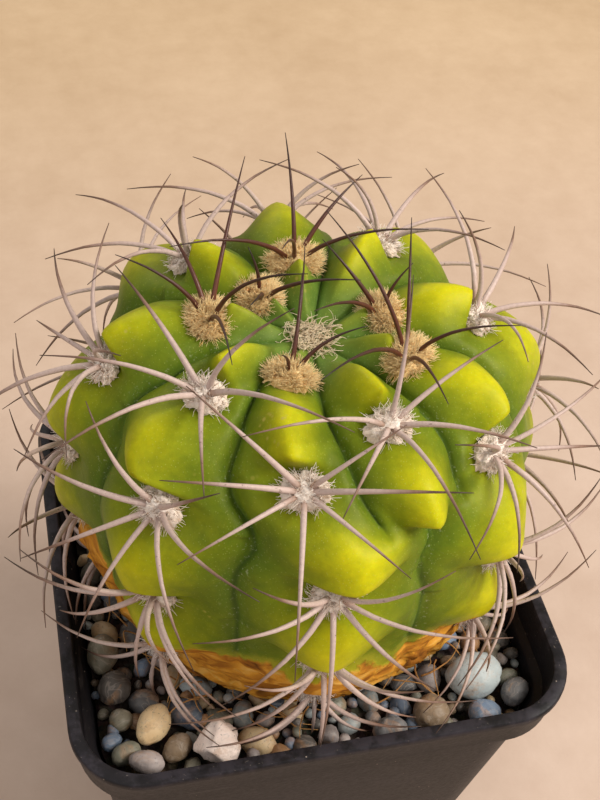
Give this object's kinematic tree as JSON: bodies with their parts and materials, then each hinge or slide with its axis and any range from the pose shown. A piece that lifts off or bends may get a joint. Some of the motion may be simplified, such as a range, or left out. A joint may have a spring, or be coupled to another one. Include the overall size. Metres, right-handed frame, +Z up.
{
  "type": "potted round cactus",
  "caption": "Round ribbed cactus with woolly areoles and long curved spines, standing in a square black nursery pot topped with rounded pebbles",
  "frame": {"origin": "centre of the underside of the pot, on the plane it stands on", "axes": "+Z up along the plant; X and Y parallel to the sides of the square pot; -Y is the side the plant is mostly seen from"},
  "size_m": [0.1237, 0.1245, 0.1767],
  "materials": {
    "pot_plastic": "smooth black moulded plastic with a faint sheen and dust",
    "potting_soil": "dark gritty compost",
    "gravel": "packed mixed grit, dull",
    "pebble_stone": "worn smooth stones in cream, grey, brown and blue-grey",
    "stem_skin": "waxy yellow-green plant skin, corky orange-brown at the foot",
    "wool": "matted cream and grey plant wool",
    "spine_grown": "pale pinkish grey spines with brown points",
    "spine_young": "dark red-brown new spines"
  },
  "bodies": {
    "root": {"pot": "pot_plastic", "soil": "potting_soil", "gravel_bed": "gravel", "stem": "stem_skin", "crown_wool": "wool", "pebble_01": "pebble_stone", "pebble_02": "pebble_stone", "pebble_03": "pebble_stone", "pebble_04": "pebble_stone", "pebble_05": "pebble_stone", "pebble_06": "pebble_stone", "pebble_07": "pebble_stone", "pebble_08": "pebble_stone", "pebble_09": "pebble_stone", "pebble_10": "pebble_stone", "pebble_11": "pebble_stone", "pebble_12": "pebble_stone", "pebble_13": "pebble_stone", "pebble_14": "pebble_stone", "pebble_15": "pebble_stone", "pebble_16": "pebble_stone", "areole_01": "spine_grown", "areole_02": "spine_grown", "areole_03": "spine_grown", "areole_04": "spine_grown", "areole_05": "spine_young", "areole_06": "spine_grown", "areole_07": "spine_grown", "areole_08": "spine_grown", "areole_09": "spine_young", "areole_10": "spine_grown", "areole_11": "spine_grown", "areole_12": "spine_grown", "areole_13": "spine_grown", "areole_14": "spine_young", "areole_15": "spine_grown", "areole_16": "spine_grown", "areole_17": "spine_grown", "areole_18": "spine_grown", "areole_19": "spine_grown", "areole_20": "spine_grown", "areole_21": "spine_grown", "areole_22": "spine_grown", "areole_23": "spine_young", "areole_24": "spine_grown", "areole_25": "spine_grown", "areole_26": "spine_grown", "areole_27": "spine_grown", "areole_28": "spine_grown", "areole_29": "spine_young", "areole_30": "spine_grown", "areole_31": "spine_grown", "areole_32": "spine_grown", "areole_33": "spine_young", "areole_34": "spine_grown", "areole_35": "spine_grown", "areole_36": "spine_grown", "areole_37": "spine_grown"}
  },
  "joints": []
}
